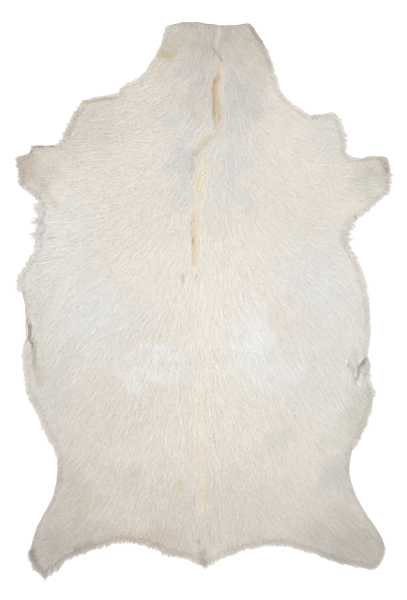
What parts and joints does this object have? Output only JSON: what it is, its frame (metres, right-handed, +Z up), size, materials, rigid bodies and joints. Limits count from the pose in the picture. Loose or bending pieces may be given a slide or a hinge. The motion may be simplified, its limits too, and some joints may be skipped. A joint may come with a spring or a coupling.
{
  "type": "goatskin rug",
  "caption": "Whole goat hide with its hair on, lying flat, hair side up, with a cut neck, short forelegs, hind-leg flaps and a tail point; covers a floor, bench or chair seat",
  "frame": {"origin": "on the floor under the middle of the hide's bounding box", "axes": "+Y towards the neck, along the hide's longest side; +X to the right when seen from above with the neck away from the viewer; +Z up, out of the hair side"},
  "size_m": [0.6171, 0.905, 0.0114],
  "materials": {
    "coat": "matte",
    "skin": "matte"
  },
  "bodies": {
    "root": {"goatskin": "coat"}
  },
  "joints": []
}
